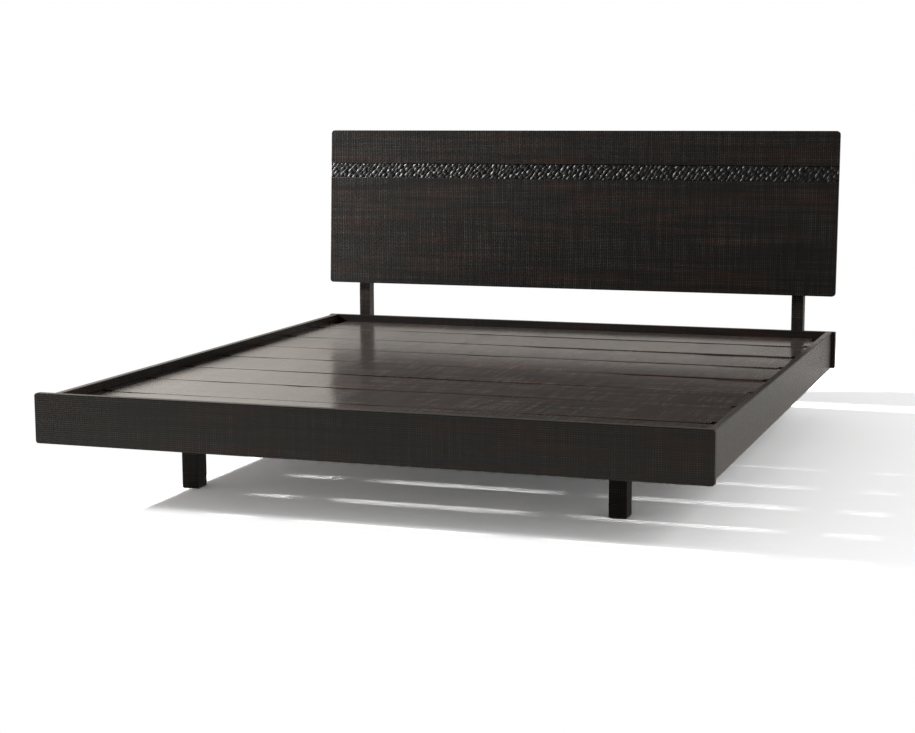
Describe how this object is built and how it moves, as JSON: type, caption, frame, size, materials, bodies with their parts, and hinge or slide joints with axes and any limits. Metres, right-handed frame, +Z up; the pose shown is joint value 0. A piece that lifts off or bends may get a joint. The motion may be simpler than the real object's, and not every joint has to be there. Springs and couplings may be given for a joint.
{
  "type": "platform bed",
  "caption": "Low platform bed of dark stained planks with loose deck boards and a leaning headboard panel with a carved band.",
  "frame": {"origin": "on the floor, under the middle of the bed's whole width and depth", "axes": "+X across the bed to the right as seen from the foot, +Y from the foot to the head, +Z up"},
  "size_m": [1.874, 2.1336, 0.9742],
  "materials": {
    "dark_wood": "near-black stained wood with a fine crosshatched texture, satin lacquer",
    "deck_wood": "near-black stained boards, semi-gloss lacquer",
    "carved_wood": "hand carved facets, glossy near-black stain",
    "hidden_wood": "stained softwood, matt",
    "steel": "zinc plated steel",
    "brass": "plain turned brass",
    "felt": "black felt"
  },
  "bodies": {
    "frame": {"foot_board": "dark_wood", "head_rail": "dark_wood", "left_side_rail": "dark_wood", "right_side_rail": "dark_wood", "front_left_leg": "dark_wood", "front_right_leg": "dark_wood", "rear_left_leg": "dark_wood", "rear_right_leg": "dark_wood", "centre_leg": "dark_wood", "headboard_panel": "dark_wood", "left_post": "dark_wood", "right_post": "dark_wood", "left_locating_blocks": "dark_wood", "right_locating_blocks": "dark_wood", "left_ledger": "hidden_wood", "right_ledger": "hidden_wood", "left_beam": "hidden_wood", "centre_beam": "hidden_wood", "right_beam": "hidden_wood", "corner_dowels": "hidden_wood", "beam_shoes": "steel", "leg_plates": "steel", "leg_studs": "steel", "headboard_bolts": "steel", "post_bolts": "steel", "head_corner_bolts": "steel", "foot_corner_studs": "steel", "ledger_screws": "steel", "shoe_screws": "steel", "leg_plate_screws": "steel", "headboard_inserts": "brass", "post_inserts": "brass", "foot_inserts": "brass", "barrel_nuts": "brass", "carved_band": "carved_wood", "leg_pads": "felt"},
    "board_1": {"deck_board_1": "deck_wood"},
    "board_2": {"deck_board_2": "deck_wood"},
    "board_3": {"deck_board_3": "deck_wood"},
    "board_4": {"deck_board_4": "deck_wood"},
    "board_5": {"deck_board_5": "deck_wood"},
    "board_6": {"deck_board_6": "deck_wood"},
    "board_7": {"deck_board_7": "deck_wood"},
    "board_8": {"deck_board_8": "deck_wood"}
  },
  "joints": [
    {"name": "lift_board_1", "type": "slide", "parent": "frame", "child": "board_1", "axis": [0, 0, 1], "range_m": [0, 0.12]},
    {"name": "lift_board_2", "type": "slide", "parent": "frame", "child": "board_2", "axis": [0, 0, 1], "range_m": [0, 0.12]},
    {"name": "lift_board_3", "type": "slide", "parent": "frame", "child": "board_3", "axis": [0, 0, 1], "range_m": [0, 0.12]},
    {"name": "lift_board_4", "type": "slide", "parent": "frame", "child": "board_4", "axis": [0, 0, 1], "range_m": [0, 0.12]},
    {"name": "lift_board_5", "type": "slide", "parent": "frame", "child": "board_5", "axis": [0, 0, 1], "range_m": [0, 0.12]},
    {"name": "lift_board_6", "type": "slide", "parent": "frame", "child": "board_6", "axis": [0, 0, 1], "range_m": [0, 0.12]},
    {"name": "lift_board_7", "type": "slide", "parent": "frame", "child": "board_7", "axis": [0, 0, 1], "range_m": [0, 0.12]},
    {"name": "lift_board_8", "type": "slide", "parent": "frame", "child": "board_8", "axis": [0, 0, 1], "range_m": [0, 0.12]}
  ]
}
